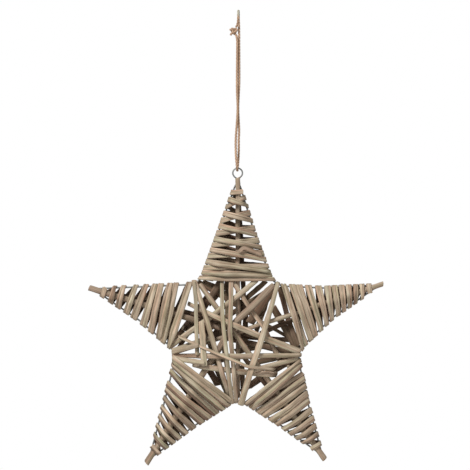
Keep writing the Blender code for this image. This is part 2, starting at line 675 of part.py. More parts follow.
def make_knot():
    """The round knot and the twine's two cut ends, which stick out of it to the left."""
    bpy.ops.mesh.primitive_uv_sphere_add(segments=8, ring_count=6, radius=KNOT_RADIUS, location=KNOT_PLACE)
    knot = bpy.context.object
    knot.name = knot.data.name = "jute_knot"
    knot.data.materials.append(jute)
    move_to(star, knot)
    for degrees in KNOT_END_TILTS:
        tilt = math.radians(degrees)
        way = Vector((math.sin(tilt), 0, math.cos(tilt)))
        bpy.ops.mesh.primitive_cylinder_add(
            vertices=6,
            radius=KNOT_END_RADIUS,
            depth=KNOT_END_LENGTH,
            location=KNOT_PLACE + way * KNOT_END_LENGTH / 2,
            rotation=(0, tilt, 0),
        )
        end = bpy.context.object
        end.hide_render = True
        end.display_type = "WIRE"
        move_to(cutters, end)
        join = knot.modifiers.new("cut end", "BOOLEAN")
        join.operation = "UNION"
        join.object = end


clear_scene()
star = make_collection("wicker_star")
cutters = make_collection("cutters")

willow = make_material("weathered_willow", (0.42, 0.35, 0.27), 0.85)
wire = make_material("galvanised_wire", (0.30, 0.31, 0.30), 0.45, metallic=1.0)
jute = make_material("jute_twine", (0.50, 0.27, 0.14), 0.95)

make_frame()
make_eye()
for arm in (TOP, RIGHT, LOWER_RIGHT):
    make_front_stick(arm)
make_middle_withy(*WITHY_UNDER_STICKS)
for arm in (LOWER_LEFT, LEFT):
    make_front_stick(arm)
for arm in range(5):
    make_back_stick(arm)
for row in MIDDLE_WITHIES:
    make_middle_withy(*row)
for row in WINDINGS:
    make_winding(*row)
make_middle_withy(*WITHY_OVER_WINDING)
make_twine()
make_knot()
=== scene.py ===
import math
import random

import bmesh
import bpy
import numpy as np
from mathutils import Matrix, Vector, noise


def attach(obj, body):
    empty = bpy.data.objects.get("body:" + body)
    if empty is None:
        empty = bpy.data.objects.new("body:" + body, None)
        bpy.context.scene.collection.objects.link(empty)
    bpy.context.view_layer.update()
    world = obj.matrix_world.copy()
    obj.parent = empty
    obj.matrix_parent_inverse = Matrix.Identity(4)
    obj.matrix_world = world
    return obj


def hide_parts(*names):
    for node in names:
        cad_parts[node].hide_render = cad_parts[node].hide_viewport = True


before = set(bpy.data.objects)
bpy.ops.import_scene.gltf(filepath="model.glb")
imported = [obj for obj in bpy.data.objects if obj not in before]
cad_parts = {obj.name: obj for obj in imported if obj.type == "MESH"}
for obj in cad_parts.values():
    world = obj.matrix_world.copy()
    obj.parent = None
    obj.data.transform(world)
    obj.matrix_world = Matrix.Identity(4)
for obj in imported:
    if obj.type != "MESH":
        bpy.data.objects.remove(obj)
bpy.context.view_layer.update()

MM = 0.001

# Camera. The photograph looks squarely at the star's front, from far enough away that its depth hardly
# shows. The star hangs a little left of the middle of the picture.
PICTURE_WIDTH = 564 * MM
CAMERA_DISTANCE = 2500 * MM
PICTURE_MIDDLE = (-3.6 * MM, -267.4 * MM)

camera_data = bpy.data.cameras.new("camera")
camera_data.lens = camera_data.sensor_width * CAMERA_DISTANCE / PICTURE_WIDTH
camera = bpy.data.objects.new("camera", camera_data)
camera.location = (PICTURE_MIDDLE[0], -CAMERA_DISTANCE, PICTURE_MIDDLE[1])
camera.rotation_euler = (math.radians(90), 0, 0)
bpy.context.scene.collection.objects.link(camera)
bpy.context.scene.camera = camera


# Frame. One galvanised wire is bent by hand into a five-pointed star and closed. Its corners are rounded,
# wider at the notches than at the tips.
WIRE_SIDES = 12
WIRE_STEP = 3 * MM
WIRE_BEND_REACH = 4 * MM
WIRE_BEND_STEP = math.radians(12)
WIRE_SMOOTH_ANGLE = math.radians(50)
SAME_PLACE = 1e-6
SAME_HEIGHT = 0.01 * MM


def soften(corners, reach, step, bend_step):
    """Rounds a line's corners, and gives its places and where each lies, counted in corners."""
    corners = np.array(corners, float)
    runs = np.diff(corners, axis=0)
    lengths = np.linalg.norm(runs, axis=1)
    ways = runs / lengths[:, None]
    cuts = np.minimum(reach, np.minimum(lengths[:-1], lengths[1:]) / 2)
    cuts = np.concatenate([[0], cuts, [0]])
    places, where = [corners[0]], [0.0]
    for k, length in enumerate(lengths):
        first, last = cuts[k], length - cuts[k + 1]
        for t in np.linspace(first, last, max(2, math.ceil((last - first) / step) + 1)):
            if t > SAME_PLACE or k > 0:
                places.append(corners[k] + ways[k] * t)
                where.append(k + t / length)
        if k + 1 == len(lengths):
            break
        turn = math.acos(max(-1.0, min(1.0, ways[k] @ ways[k + 1])))
        steps = max(2, math.ceil(turn / bend_step))
        start, end = places[-1], corners[k + 1] + ways[k + 1] * cuts[k + 1]
        for t in np.arange(1, steps) / steps:
            places.append((1 - t) ** 2 * start + 2 * t * (1 - t) * corners[k + 1] + t**2 * end)
            after = max(0, t - 0.5) * 2 * cuts[k + 1] / lengths[k + 1]
            where.append(k + 1 - max(0, 0.5 - t) * 2 * cuts[k + 1] / length + after)
    apart = np.linalg.norm(np.diff(places, axis=0), axis=1) > SAME_PLACE
    keep = np.concatenate([[True], apart])
    return np.array(places)[keep], np.array(where)[keep]


def bend_wire(name, places, radius, material, closed=False):
    """A round wire along places, as a mesh."""
    line = bpy.data.curves.new(name, "CURVE")
    line.dimensions = "3D"
    line.bevel_depth = radius
    line.bevel_resolution = WIRE_SIDES // 2 - 2
    line.use_fill_caps = not closed
    spline = line.splines.new("POLY")
    spline.points.add(len(places) - 1)
    spline.points.foreach_set("co", np.column_stack([places, np.ones(len(places))]).ravel())
    spline.use_cyclic_u = closed
    wire = bpy.data.objects.new(name, line)
    bpy.context.scene.collection.objects.link(wire)
    bpy.ops.object.select_all(action="DESELECT")
    wire.select_set(True)
    bpy.context.view_layer.objects.active = wire
    bpy.ops.object.convert(target="MESH")
    bpy.ops.object.shade_smooth_by_angle(angle=WIRE_SMOOTH_ANGLE)
    wire.data.materials.append(material)
    return wire


def add_node(tree, kind, place, values=(), **settings):
    """A shader node, with its settings and the values of its inputs."""
    node = tree.nodes.new(kind)
    node.location = place
    for setting, value in settings.items():
        setattr(node, setting, value)
    for key, value in dict(values).items():
        node.inputs[key].default_value = value
    return node


def add_ramp(tree, place, stops):
    """A colour ramp through (position, colour) stops."""
    ramp = add_node(tree, "ShaderNodeValToRGB", place)
    while len(ramp.color_ramp.elements) < len(stops):
        ramp.color_ramp.elements.new(1.0)
    for element, (position, colour) in zip(ramp.color_ramp.elements, stops):
        element.position = position
        element.color = (*colour, 1.0)
    return ramp


def galvanised_wire():
    """Dull zinc with a faint mottle and a few brown specks of rust."""
    material = bpy.data.materials.new("dull_galvanised_wire")
    material.use_nodes = True
    tree = material.node_tree
    shader = tree.nodes["Principled BSDF"]
    shader.inputs["Metallic"].default_value = 0.55
    coordinates = add_node(tree, "ShaderNodeTexCoord", (-1100, 0))
    mottle = add_node(tree, "ShaderNodeTexNoise", (-900, 200), {"Scale": 260.0, "Detail": 4.0})
    specks = add_node(tree, "ShaderNodeTexNoise", (-900, -100), {"Scale": 420.0, "Detail": 2.0})
    zinc = add_ramp(tree, (-650, 200), [(0.3, (0.13, 0.135, 0.13)), (0.7, (0.30, 0.31, 0.295))])
    rust = add_ramp(tree, (-650, -100), [(0.62, (0, 0, 0)), (0.72, (1, 1, 1))])
    rusted = add_node(tree, "ShaderNodeMix", (-300, 150), {"B": (0.13, 0.075, 0.045, 1)}, data_type="RGBA")
    rough = add_node(tree, "ShaderNodeMapRange", (-300, -100), {"To Min": 0.38, "To Max": 0.6})
    bump = add_node(tree, "ShaderNodeBump", (-300, -350), {"Strength": 0.3, "Distance": 0.1 * MM})
    for texture in (mottle, specks):
        tree.links.new(coordinates.outputs["Object"], texture.inputs["Vector"])
    tree.links.new(mottle.outputs["Fac"], zinc.inputs["Fac"])
    tree.links.new(specks.outputs["Fac"], rust.inputs["Fac"])
    tree.links.new(rust.outputs["Color"], rusted.inputs["Factor"])
    tree.links.new(zinc.outputs["Color"], rusted.inputs["A"])
    tree.links.new(mottle.outputs["Fac"], rough.inputs["Value"])
    tree.links.new(mottle.outputs["Fac"], bump.inputs["Height"])
    tree.links.new(rusted.outputs["Result"], shader.inputs["Base Color"])
    tree.links.new(rough.outputs["Result"], shader.inputs["Roughness"])
    tree.links.new(bump.outputs["Normal"], shader.inputs["Normal"])
    return material


def frame_line():
    """The middle line of the frame's wire, in order round the star, and the wire's radius."""
    corners = np.array([v.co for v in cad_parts["wire_frame"].data.vertices])
    radius = corners[:, 1].max()
    front = corners[corners[:, 1] > radius - SAME_HEIGHT]
    front = np.unique(front.round(6), axis=0)
    front[:, 1] = 0
    middle = front.mean(axis=0)
    turn = np.arctan2(front[:, 2] - middle[2], front[:, 0] - middle[0])
    return front[np.argsort(turn)], radius


zinc_wire = galvanised_wire()
wire_corners, wire_radius = frame_line()
start = (wire_corners[0] + wire_corners[-1]) / 2
wire_line, _ = soften([start, *wire_corners, start], WIRE_BEND_REACH, WIRE_STEP, WIRE_BEND_STEP)
frame_wire = bend_wire("bent_star_wire", wire_line[:-1], wire_radius, zinc_wire, closed=True)
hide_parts("wire_frame")
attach(frame_wire, "root")


# Hanging eye. A thinner wire makes a ring above the top tip. Its two legs run down between the stick
# and the winding, which binds them.
RING_SIDES = 6
SAME_PLANE = 0.99999
UPPER_END_WAY = (0.3, 0.1, 1.0)


def rings_of(name):
    """The rings of six corners that a rod's CAD solid is lofted through, from its upper end."""
    form = bmesh.new()
    form.from_mesh(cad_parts[name].data)
    bmesh.ops.remove_doubles(form, verts=form.verts, dist=SAME_PLACE)
    found = []
    for face in form.faces:
        cap, new = {face}, [face]
        while new:
            for edge in new.pop().edges:
                for other in edge.link_faces:
                    if other not in cap and other.normal.dot(face.normal) > SAME_PLANE:
                        cap.add(other)
                        new.append(other)
        ring = {corner for part in cap for corner in part.verts}
        if len(cap) != RING_SIDES - 2 or len(ring) != RING_SIDES:
            continue
        rings, seen = [ring], set(ring)
        while len(rings[-1]) == RING_SIDES:
            ahead = {edge.other_vert(corner) for corner in rings[-1] for edge in corner.link_edges}
            ahead -= seen
            if not ahead:
                break
            rings.append(ahead)
            seen |= ahead
        if len(rings[-1]) == RING_SIDES and len(seen) == len(form.verts):
            found.append([np.array(sorted(corner.co[:] for corner in part)) for part in rings])
    form.free()
    return max(found, key=lambda rings: rings[0].mean(axis=0) @ UPPER_END_WAY)


eye_rings = rings_of("wire_eye")
eye_radius = np.linalg.norm(eye_rings[0][0] - eye_rings[0].mean(axis=0))
eye_middles = [ring.mean(axis=0) for ring in eye_rings]
eye_line, _ = soften(eye_middles, WIRE_BEND_REACH, WIRE_STEP, WIRE_BEND_STEP)
eye = bend_wire("hanging_eye_wire", eye_line, eye_radius, zinc_wire)
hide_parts("wire_eye")
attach(eye, "root")


# Sticks. Ten straight willow rods, one before and one behind the frame along each arm. Their blunt ends
# stick out past the tips. The bark has shrunk into fine ridges, with a swelling at each bud.
ROD_SIDES = 16
ROD_STEP = 2.2 * MM
ROD_BEND_REACH = 4.5 * MM
ROD_BEND_STEP = math.radians(14)
BUD_SPACING = (26 * MM, 52 * MM)
BUD_LENGTH = 2.4 * MM
BUD_SWELLING = 0.16
RIDGE_DEPTH = 0.05
LONG_RIDGES = 28 * MM
SHORT_RIDGES = 12 * MM
SHORT_RIDGE_SHARE = 0.6
TAPER_DEPTH = 0.05
TAPER_LENGTH = 18 * MM
CUT_SLANT = 0.5
CUT_RIM = 0.25 * MM
CUT_CROWN = 0.3 * MM
CUT_SHARE = 0.86
WOBBLE = 0.7 * MM
WOBBLE_LENGTH = 45 * MM
WOBBLE_CALM = 9 * MM
TONE_LENGTH = 90 * MM
# Painted shade on the inward sides grows over this depth from the wire's plane.
PAINTED_SHADE_DEPTH = 2 * MM
LEAST_MITRE = 0.8
FULLNESS = 1.07
ROD_SHARP_ANGLE = math.radians(60)
star_middle = wire_corners.mean(axis=0)


def course_of(name):
    """A rod's course, as its CAD solid has it: middles, wide ways, half widths and half thicknesses.

    The first wide way points away from the star's middle, and the others follow it.
    """
    rings = rings_of(name)
    middles = np.array([ring.mean(axis=0) for ring in rings])
    ways = np.diff(middles, axis=0)
    ways /= np.linalg.norm(ways, axis=1)[:, None]
    ways = np.vstack([ways[0], ways, ways[-1]])
    across, wide, thick = [], [], []
    for ring, middle, before, after in zip(rings, middles, ways[:-1], ways[1:]):
        spokes = ring - middle
        longest = spokes[np.argmax(np.linalg.norm(spokes, axis=1))]
        half = np.linalg.norm(longest)
        side = longest / half
        last_side = across[-1] if across else middle - star_middle
        if side @ last_side < 0:
            side = -side
        along = (before + after) / np.linalg.norm(before + after)
        up = np.cross(along, side)
        rise = np.abs(spokes @ up).max() / math.sin(2 * math.pi / RING_SIDES)
        across.append(side)
        wide.append(half)
        thick.append(min(half, rise * max(LEAST_MITRE, along @ after)))
    return middles, np.array(across), np.array(wide), np.array(thick)


def plan_side(way):
    """The way across a rod that lies in the star's plane."""
    side = np.array([way[2], 0.0, -way[0]])
    return side / max(np.linalg.norm(side), 1e-9)


def shape_rod(
    name, course, material, tone, round_section=False, wobble=WOBBLE, tone_drift=0.1, fullness=FULLNESS
):
    """A willow rod lofted along a course, with its ridges, buds and slanting cut ends.

    Each corner keeps its place in the straightened rod (grain), and in a second attribute its tone,
    painted shade and cut.
    """
    middles, across, wide, thick = course
    chance = random.Random(name)
    places, where = soften(middles, ROD_BEND_REACH, ROD_STEP, ROD_BEND_STEP)
    index = np.arange(len(middles))
    wide = np.interp(where, index, wide) * fullness
    thick = np.interp(where, index, thick)
    lengths = np.linalg.norm(np.diff(places, axis=0), axis=1)
    along = np.concatenate([[0], np.cumsum(lengths)])
    ways = np.gradient(places, along, axis=0)
    ways /= np.linalg.norm(ways, axis=1)[:, None]
    if round_section:
        sides = np.array([plan_side(way) for way in ways])
    else:
        sides = np.stack([np.interp(where, index, across[:, k]) for k in range(3)], axis=1)
    sides -= (sides * ways).sum(axis=1)[:, None] * ways
    sides /= np.linalg.norm(sides, axis=1)[:, None]
    ups = np.cross(ways, sides)
    seed = chance.uniform(0, 50)
    calm = np.ones(len(places))
    for held in np.unique(np.concatenate([[0, along[-1]], along[np.abs(places[:, 1]) < wire_radius]])):
        calm = np.minimum(calm, np.abs(along - held) / WOBBLE_CALM)
    drift = np.array([noise.noise(Vector((s / WOBBLE_LENGTH, seed, 0))) for s in along])
    places = places + sides * (drift * np.minimum(calm, 1) * wobble)[:, None]
    buds, at = [], chance.uniform(0.3, 1) * BUD_SPACING[0]
    while at < along[-1]:
        buds.append((at, chance.uniform(0, 2 * math.pi)))
        at += chance.uniform(*BUD_SPACING)
    slants = [chance.uniform(-CUT_SLANT, CUT_SLANT) for _ in range(2)]
    form = bmesh.new()
    grain, tone_shade_cut, rings = [], [], []
    angles = 2 * math.pi * np.arange(ROD_SIDES) / ROD_SIDES
    for k, (place, side, up, way, s) in enumerate(zip(places, sides, ups, ways, along)):
        swell = 1 + TAPER_DEPTH * noise.noise(Vector((s / TAPER_LENGTH, seed, 5)))
        ring = []
        for angle in angles:
            c, d = math.cos(angle), math.sin(angle)
            ridge = noise.noise(Vector((c * 2.2 + seed, d * 2.2, s / LONG_RIDGES)))
            short_ridge = noise.noise(Vector((c * 5 + seed, d * 5, s / SHORT_RIDGES)))
            ridge += SHORT_RIDGE_SHARE * short_ridge
            bulge = sum(
                math.exp(-(((s - bud) / BUD_LENGTH) ** 2)) * (0.35 + 0.65 * max(0, math.cos(angle - turn)))
                for bud, turn in buds
                if abs(s - bud) < 3 * BUD_LENGTH
            )
            size = swell + RIDGE_DEPTH * ridge + BUD_SWELLING * bulge
            offset = side * (c * wide[k] * size) + up * (d * thick[k] * size)
            slant = 0.0
            if k == 0 or k == len(places) - 1:
                slant = slants[min(k, 1)] * c * wide[k]
            ring.append(form.verts.new(place + offset + way * slant))
            grain.append((c * wide[k], d * thick[k], s + seed))
            # Painted shade: sides that face into the star, between its front and back layers, are
            # darkened, and the flanks a little.
            outward = offset[1] / np.linalg.norm(offset)
            inward = -outward * np.sign(place[1]) * min(1, abs(place[1]) / PAINTED_SHADE_DEPTH)
            painted_shade = min(1, max(0, 0.5 + 0.9 * inward))
            strand = tone + tone_drift * noise.noise(Vector((s / TONE_LENGTH, seed, 9)))
            tone_shade_cut.append((strand, painted_shade, 0.0))
        rings.append(ring)
    for near, far in zip(rings[:-1], rings[1:]):
        for k in range(ROD_SIDES):
            form.faces.new((near[k - 1], near[k], far[k], far[k - 1]))
    for end, ring, way in ((0, rings[0], -ways[0]), (-1, rings[-1], ways[-1])):
        middle = sum((corner.co for corner in ring), Vector()) / ROD_SIDES
        rim = middle + Vector(way) * CUT_RIM
        inner = [form.verts.new(rim + (corner.co - middle) * CUT_SHARE) for corner in ring]
        core = form.verts.new(middle + Vector(way) * CUT_CROWN)
        for k in range(ROD_SIDES):
            form.faces.new((ring[k - 1], ring[k], inner[k], inner[k - 1]))
            form.faces.new((inner[k - 1], inner[k], core))
        strand = tone_shade_cut[0 if end == 0 else -1][0]
        width = wide[end] * CUT_SHARE
        grain += [(math.cos(angle) * width, math.sin(angle) * width, seed) for angle in angles]
        grain.append((0, 0, seed))
        tone_shade_cut += [(strand, 0.0, 1.0)] * (ROD_SIDES + 1)
    bmesh.ops.recalc_face_normals(form, faces=form.faces)
    mesh = bpy.data.meshes.new(name)
    form.to_mesh(mesh)
    form.free()
    for layer, values in (("grain", grain), ("tone_shade_cut", tone_shade_cut)):
        attribute = mesh.attributes.new(layer, "FLOAT_VECTOR", "POINT")
        attribute.data.foreach_set("vector", np.array(values, np.float32).ravel())
    mesh.materials.append(material)
    mesh.shade_smooth()
    mesh.set_sharp_from_angle(angle=ROD_SHARP_ANGLE)
    rod = bpy.data.objects.new(name, mesh)
    bpy.context.scene.collection.objects.link(rod)
    return rod


def fibre_streaks():
    """The group that gives long fine streaks along a grain: bark's ridges and jute's fibres."""
    group = bpy.data.node_groups.new("fibre_streaks", "ShaderNodeTree")
    group.interface.new_socket("Grain", in_out="INPUT", socket_type="NodeSocketVector")
    group.interface.new_socket("Across", in_out="INPUT", socket_type="NodeSocketFloat")
    group.interface.new_socket("Along", in_out="INPUT", socket_type="NodeSocketFloat")
    group.interface.new_socket("Streaks", in_out="OUTPUT", socket_type="NodeSocketFloat")
    inner = add_node(group, "NodeGroupInput", (-800, 0))
    outer = add_node(group, "NodeGroupOutput", (200, 0))
    scale = add_node(group, "ShaderNodeCombineXYZ", (-600, -100))
    stretched = add_node(group, "ShaderNodeVectorMath", (-400, 0), operation="MULTIPLY")
    streaks = add_node(group, "ShaderNodeTexNoise", (-200, 0), {"Scale": 1.0, "Detail": 4.0})
    for axis in "XY":
        group.links.new(inner.outputs["Across"], scale.inputs[axis])
    group.links.new(inner.outputs["Along"], scale.inputs["Z"])
    group.links.new(inner.outputs["Grain"], stretched.inputs[0])
    group.links.new(scale.outputs["Vector"], stretched.inputs[1])
    group.links.new(stretched.outputs["Vector"], streaks.inputs["Vector"])
    group.links.new(streaks.outputs["Fac"], outer.inputs["Streaks"])
    return group


def add_streaks(tree, place, grain, across, along):
    """The streaks of a grain, with how many there are to a metre across and along it."""
    node = add_node(tree, "ShaderNodeGroup", place, node_tree=streaks_group)
    node.inputs["Across"].default_value = across
    node.inputs["Along"].default_value = along
    tree.links.new(grain, node.inputs["Grain"])
    return node.outputs["Streaks"]


def mixed(tree, place, factor, first, second, blend="MIX"):
    """Two colours mixed. Each of the three is a socket or a value."""
    mix = add_node(tree, "ShaderNodeMix", place, data_type="RGBA", blend_type=blend)
    for key, value in (("Factor", factor), ("A", first), ("B", second)):
        if isinstance(value, bpy.types.NodeSocket):
            tree.links.new(value, mix.inputs[key])
        else:
            mix.inputs[key].default_value = value
    return mix.outputs["Result"]


def weathered_willow():
    """Grey-beige bark, with painted shade on the sides that face into the star, and pale at the cuts."""
    material = bpy.data.materials.new("weathered_willow_bark")
    material.use_nodes = True
    tree = material.node_tree
    shader = tree.nodes["Principled BSDF"]
    grain = add_node(tree, "ShaderNodeAttribute", (-1800, 200), attribute_name="grain").outputs["Vector"]
    tone_shade_cut = add_node(tree, "ShaderNodeAttribute", (-1800, -200), attribute_name="tone_shade_cut")
    parts = add_node(tree, "ShaderNodeSeparateXYZ", (-1600, -200))
    tree.links.new(tone_shade_cut.outputs["Vector"], parts.inputs["Vector"])
    fine = add_streaks(tree, (-1500, 300), grain, across=1500.0, along=60.0)
    broad = add_streaks(tree, (-1500, 500), grain, across=420.0, along=22.0)
    patches = add_streaks(tree, (-1500, 100), grain, across=130.0, along=45.0)
    tints = add_streaks(tree, (-1500, 700), grain, across=560.0, along=15.0)
    # The darkest stop serves mostly the thin strands of the windings, as painted shade.
    barks = add_ramp(tree, (-1250, -100), [
        (0.0, (0.17, 0.12, 0.09)),
        (0.25, (0.37, 0.295, 0.225)),
        (0.5, (0.42, 0.35, 0.27)),
        (0.75, (0.45, 0.39, 0.30)),
        (1.0, (0.37, 0.34, 0.255)),
    ])
    tree.links.new(parts.outputs["X"], barks.inputs["Fac"])
    streaked = add_ramp(tree, (-1250, 500), [(0.3, (0.66, 0.62, 0.59)), (0.7, (1.24, 1.23, 1.21))])
    fined = add_ramp(tree, (-1250, 300), [(0.3, (0.72, 0.69, 0.66)), (0.65, (1.12, 1.12, 1.12))])
    tinted = add_ramp(tree, (-1250, 700), [
        (0.34, (1.14, 0.96, 0.89)),
        (0.5, (1.0, 1.0, 1.0)),
        (0.66, (0.89, 0.97, 0.84)),
    ])
    patched = add_ramp(tree, (-1250, 100), [(0.35, (0.84, 0.79, 0.74)), (0.62, (1.08, 1.09, 1.1))])
    tree.links.new(broad, streaked.inputs["Fac"])
    tree.links.new(fine, fined.inputs["Fac"])
    tree.links.new(patches, patched.inputs["Fac"])
    tree.links.new(tints, tinted.inputs["Fac"])
    bark = mixed(tree, (-1050, 350), 1.0, barks.outputs["Color"], tinted.outputs["Color"], "MULTIPLY")
    bark = mixed(tree, (-950, 200), 1.0, bark, streaked.outputs["Color"], "MULTIPLY")
    bark = mixed(tree, (-750, 200), 1.0, bark, fined.outputs["Color"], "MULTIPLY")
    bark = mixed(tree, (-550, 200), 1.0, bark, patched.outputs["Color"], "MULTIPLY")
    # Painted shade: the bark is darkened on the sides that face into the star.
    shade = add_ramp(tree, (-1250, -350), [(0.3, (1, 1, 1)), (0.8, (0.40, 0.335, 0.30))])
    tree.links.new(parts.outputs["Y"], shade.inputs["Fac"])
    bark = mixed(tree, (-350, 200), 1.0, bark, shade.outputs["Color"], "MULTIPLY")
    cut = mixed(tree, (-550, -100), fine, (0.50, 0.40, 0.27, 1), (0.66, 0.57, 0.43, 1))
    skin = mixed(tree, (-150, 200), parts.outputs["Z"], bark, cut)
    rough = add_node(tree, "ShaderNodeMapRange", (-350, -200), {"To Min": 0.62, "To Max": 0.92})
    tree.links.new(broad, rough.inputs["Value"])
    ridges = add_node(tree, "ShaderNodeBump", (-350, -450), {"Strength": 0.55, "Distance": 0.25 * MM})
    tree.links.new(fine, ridges.inputs["Height"])
    tree.links.new(skin, shader.inputs["Base Color"])
    tree.links.new(rough.outputs["Result"], shader.inputs["Roughness"])
    tree.links.new(ridges.outputs["Normal"], shader.inputs["Normal"])
    shader.inputs["Specular IOR Level"].default_value = 0.3
    return material


def place_rod(node, tone, **shape):
    """A rod of bark in place of its CAD solid."""
    rod = shape_rod(f"{node}_bark", course_of(node), willow_bark, tone, **shape)
    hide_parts(node)
    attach(rod, "root")


streaks_group = fibre_streaks()
willow_bark = weathered_willow()
tones = random.Random(7)
for node in sorted(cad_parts):
    if node.endswith(("_front_stick", "_back_stick")):
        place_rod(node, tones.uniform(0.12, 0.5), round_section=True)


# Middle. Withies of many lengths cross the star's middle over its front and its back. Four of them turn
# round the wire and run on over the other side.
BACK_FULLNESS = 1.22
for node in sorted(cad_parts):
    if "withy" in node:
        fullness = BACK_FULLNESS if node.startswith("back") else FULLNESS
        place_rod(node, tones.uniform(0.15, 0.95), fullness=fullness)


# Windings. Two withies side by side, one thinner than the other, are wound round each arm from its base
# to its tip, over the sticks. They are spread wider where they turn round the wire.
STRAND_SPLIT = 0.24
STRAND_LAP = 0.06
THIN_STRAND_SINKS = 0.8 * MM
# Painted shade: the thin strand is coloured dark, darkest on the lower arms, to stand for the shaded gaps
# between the passes.
THIN_STRAND_SHADE_TONES = {"top": 0.4, "left": 0.25, "lower_left": 0.0, "lower_right": 0.12, "right": 0.35}
THIN_STRAND_DRIFT = 0.2
BROAD_STRAND_TONE = 0.55
BROAD_STRAND_DRIFT = 0.6
STRAND_WOBBLE = 0.5 * MM
TURN_SPREAD = 1.16
TURN_HEIGHT = 3.2 * MM


def strand_of(course, low, high, sink):
    """The part of a course from low to high across its width, which goes from -1 to 1."""
    middles, across, wide, thick = course
    turning = np.abs(middles[:, 1]) < TURN_HEIGHT
    wide = np.where(turning, wide * TURN_SPREAD, wide)
    half = wide * (high - low) / 2
    middles = middles + across * (wide * (low + high) / 2)[:, None]
    middles[:, 1] -= np.where(turning, 0, sink) * np.sign(middles[:, 1])
    return middles, across, half, np.minimum(thick, half)


def wind_arm(node):
    """The two strands of a winding, as one piece in place of its CAD solid."""
    course = course_of(node)
    # The thin strand's dark tone is painted shade.
    thin_shade_tone = THIN_STRAND_SHADE_TONES[node.removesuffix("_arm_winding")]
    strands = []
    broad = strand_of(course, -1.0, STRAND_SPLIT + STRAND_LAP, 0.0)
    thin = strand_of(course, STRAND_SPLIT - STRAND_LAP, 1.0, THIN_STRAND_SINKS)
    for label, part, tone, drift in (
        ("bark", broad, BROAD_STRAND_TONE, BROAD_STRAND_DRIFT),
        ("thin_strand", thin, thin_shade_tone, THIN_STRAND_DRIFT),
    ):
        name = f"{node}_{label}"
        strands.append(shape_rod(name, part, willow_bark, tone, wobble=STRAND_WOBBLE, tone_drift=drift))
    bpy.ops.object.select_all(action="DESELECT")
    for strand in strands:
        strand.select_set(True)
    bpy.context.view_layer.objects.active = strands[0]
    bpy.ops.object.join()
    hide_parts(node)
    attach(strands[0], "root")


for node in sorted(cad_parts):
    if node.endswith("_winding"):
        wind_arm(node)


# Twine. Three plies of jute are laid into one limp twine, which goes through the eye, up over the hook
# and back. Its two ends meet in an overhand knot near the top. The route is the CAD cord's, in
# millimetres.
TWINE_ROUTE = (
    (-2.7, 0.0, -26.7), (-1.3, -0.9, -31), (-0.9, -1.25, -40), (-1.25, -0.95, -81), (-1.05, -1.4, -98),
    (-0.4, -1.7, -113), (-0.9, -1.6, -127), (-1.95, -0.8, -141), (-2.7, -0.3, -153), (-2.7, -1.3, -165),
    (-2.4, -3.9, -173.5), (-1.8, -6.1, -179.6), (-1.5, -6.5, -183.4), (-1.2, -5.63, -186.65),
    (-1.0, -3.25, -189.03), (-0.8, 0.0, -189.9), (-0.6, 3.25, -189.03), (-0.3, 5.63, -186.65),
    (-0.1, 6.5, -183.4), (0.2, 6.1, -179.6), (0.6, 3.9, -173.5), (0.9, 1.3, -165), (0.9, 0.3, -153),
    (1.35, 0.8, -141), (0.6, 1.6, -127), (0.2, 1.7, -113), (0.85, 1.4, -98), (1.55, 0.95, -81),
    (1.4, 1.25, -40), (1.35, 1.5, -27), (1.2, 4.2, -14.5), (0.9, 6.1, -8.8), (0.8, 6.5, -5.0),
    (0.75, 5.63, -1.75), (0.65, 3.25, 0.63), (0.5, 0.0, 1.5), (0.4, -3.25, 0.63), (0.3, -5.63, -1.75),
    (0.25, -6.5, -5.0), (0.2, -6.0, -8.8), (-0.4, -3.4, -13.8), (-1.4, -1.4, -16.5), (-2.2, -0.2, -17.7),
)
TWINE_DIAMETER = 3.0 * MM
TWINE_STEP = 0.7 * MM
TWINE_SIDES = 24
PLY_LAY = 11 * MM
PLY_SHARE = 0.555
FIBRE_LAY = 5 * MM
TUFT_DEPTH = 0.05
TUFT_LENGTH = 2 * MM
GREY_FROM_HEIGHT = -7 * MM
GREY_TO_HEIGHT = -3 * MM


def smooth_curve(route, step):
    """A smooth curve through the route's places, with points about a step apart."""
    ends = (2 * route[0] - route[1], 2 * route[-1] - route[-2])
    places = [ends[0], *route, ends[1]]
    points = [route[0]]
    for a, b, c, d in zip(places, places[1:], places[2:], places[3:]):
        count = max(1, round((c - b).length / step))
        for k in range(1, count + 1):
            t = k / count
            bend = (2 * a - 5 * b + 4 * c - d) * t**2 + (3 * b - a - 3 * c + d) * t**3
            points.append((2 * b + (c - a) * t + bend) / 2)
    return points


